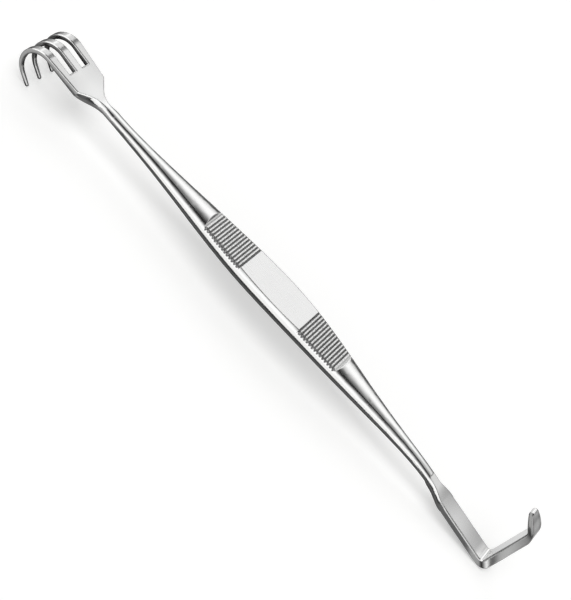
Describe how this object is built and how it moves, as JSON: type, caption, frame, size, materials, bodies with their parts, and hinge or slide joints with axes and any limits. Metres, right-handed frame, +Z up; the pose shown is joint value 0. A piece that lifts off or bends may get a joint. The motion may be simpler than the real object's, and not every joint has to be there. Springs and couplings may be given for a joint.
{
  "type": "surgical retractor",
  "caption": "Slim steel hand-held retractor with a hooked rake at one end, an upright blade with a turned-back lip at the other and a serrated flat grip between.",
  "frame": {"origin": "middle of the bounding box at table level, lying on the prong tips and the blade's heel", "axes": "+X along the handle from the rake to the blade, +Y across the handle, +Z up from the table"},
  "size_m": [0.1702, 0.0128, 0.024],
  "materials": {
    "steel": "satin"
  },
  "bodies": {
    "root": {"retractor": "steel"}
  },
  "joints": []
}
